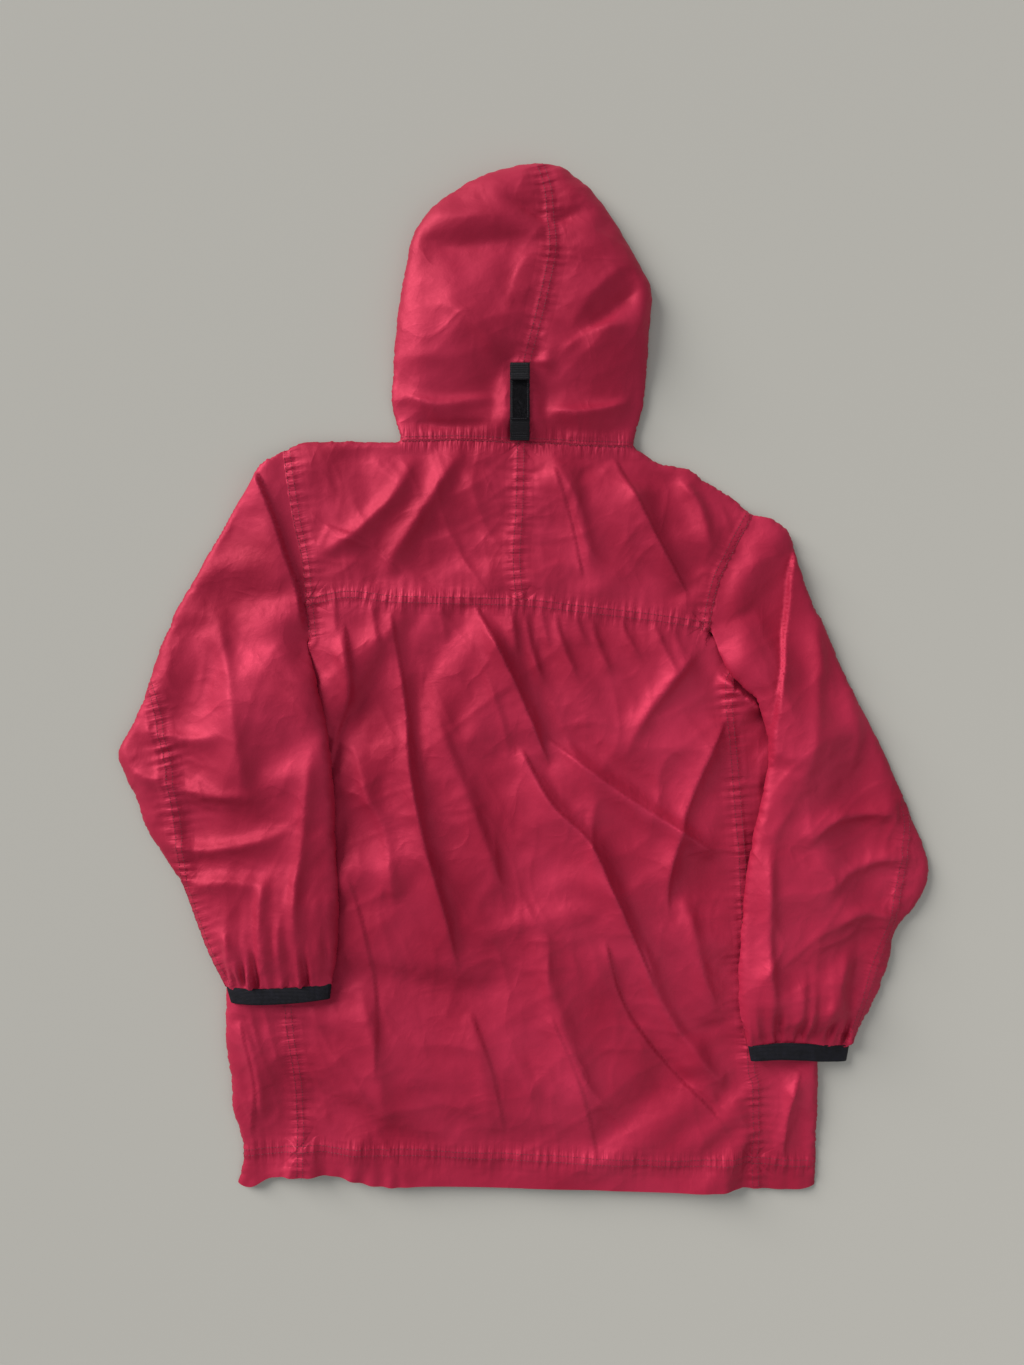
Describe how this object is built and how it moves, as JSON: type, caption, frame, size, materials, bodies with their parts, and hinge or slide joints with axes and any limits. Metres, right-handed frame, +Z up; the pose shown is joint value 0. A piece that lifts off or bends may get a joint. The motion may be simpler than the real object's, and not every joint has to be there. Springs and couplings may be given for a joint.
{
  "type": "hooded windbreaker jacket",
  "caption": "Thin unlined hooded windbreaker laid face down, back panel up, with elastic cuffs and hem, and a webbing strap on the hood.",
  "frame": {"origin": "centre of the jacket's bounding box, at floor level", "axes": "+X across the jacket, +Y along its length towards the hood, +Z up from the floor"},
  "size_m": [0.84, 1.06, 0.042],
  "materials": {
    "red_taffeta": "satin",
    "black_elastic": "matte",
    "black_webbing": "matte",
    "hook_and_loop": "matte",
    "zip_cloth": "matte",
    "zip_plastic": "satin",
    "zip_metal": "satin"
  },
  "bodies": {
    "torso": {"front_panel_left": "red_taffeta", "front_panel_right": "red_taffeta", "back_panel": "red_taffeta", "back_yoke_left": "red_taffeta", "back_yoke_right": "red_taffeta", "hem_casing": "red_taffeta", "hem_elastic": "black_elastic", "pocket_welt_left": "red_taffeta", "pocket_welt_right": "red_taffeta", "pocket_bag_left": "red_taffeta", "pocket_bag_right": "red_taffeta", "neck_tape": "red_taffeta", "hang_loop": "black_webbing", "zip_tape_left": "zip_cloth", "zip_tape_right": "zip_cloth", "zip_teeth_left": "zip_plastic", "zip_teeth_right": "zip_plastic", "zip_stops": "zip_plastic", "zip_box": "zip_plastic"},
    "slider": {"zip_slider": "zip_metal"},
    "pull": {"zip_pull": "zip_metal"},
    "hood": {"hood_panel_left": "red_taffeta", "hood_panel_right": "red_taffeta", "hood_hem": "red_taffeta", "strap_webbing": "black_webbing", "loop_patch": "hook_and_loop"},
    "flap": {"strap_tab": "black_webbing", "hook_patch": "hook_and_loop"},
    "sleeve_left": {"sleeve_upper_left": "red_taffeta", "sleeve_under_left": "red_taffeta", "cuff_left": "black_elastic"},
    "sleeve_right": {"sleeve_upper_right": "red_taffeta", "sleeve_under_right": "red_taffeta", "cuff_right": "black_elastic"}
  },
  "joints": [
    {"name": "hood_fold", "type": "hinge", "parent": "torso", "child": "hood", "pos_m": [0, 0.2425, 0.024], "axis": [1, 0, 0], "range_deg": [0, 165]},
    {"name": "strap_flap", "type": "hinge", "parent": "hood", "child": "flap", "pos_m": [-0.005, 0.316, 0.027], "axis": [-1, 0, 0], "range_deg": [0, 150]},
    {"name": "left_shoulder", "type": "hinge", "parent": "torso", "child": "sleeve_left", "pos_m": [-0.249, 0.234, 0.019], "axis": [0, 0, -1], "range_deg": [0, 45]},
    {"name": "right_shoulder", "type": "hinge", "parent": "torso", "child": "sleeve_right", "pos_m": [0.238, 0.17, 0.019], "axis": [0, 0, 1], "range_deg": [0, 45]},
    {"name": "zip_slide", "type": "slide", "parent": "torso", "child": "slider", "axis": [0, -1, 0], "range_m": [0, 0.645]},
    {"name": "zip_pull_swing", "type": "hinge", "parent": "slider", "child": "pull", "pos_m": [0, 0.158, 0.0013], "axis": [1, 0, 0], "range_deg": [0, 170]}
  ]
}
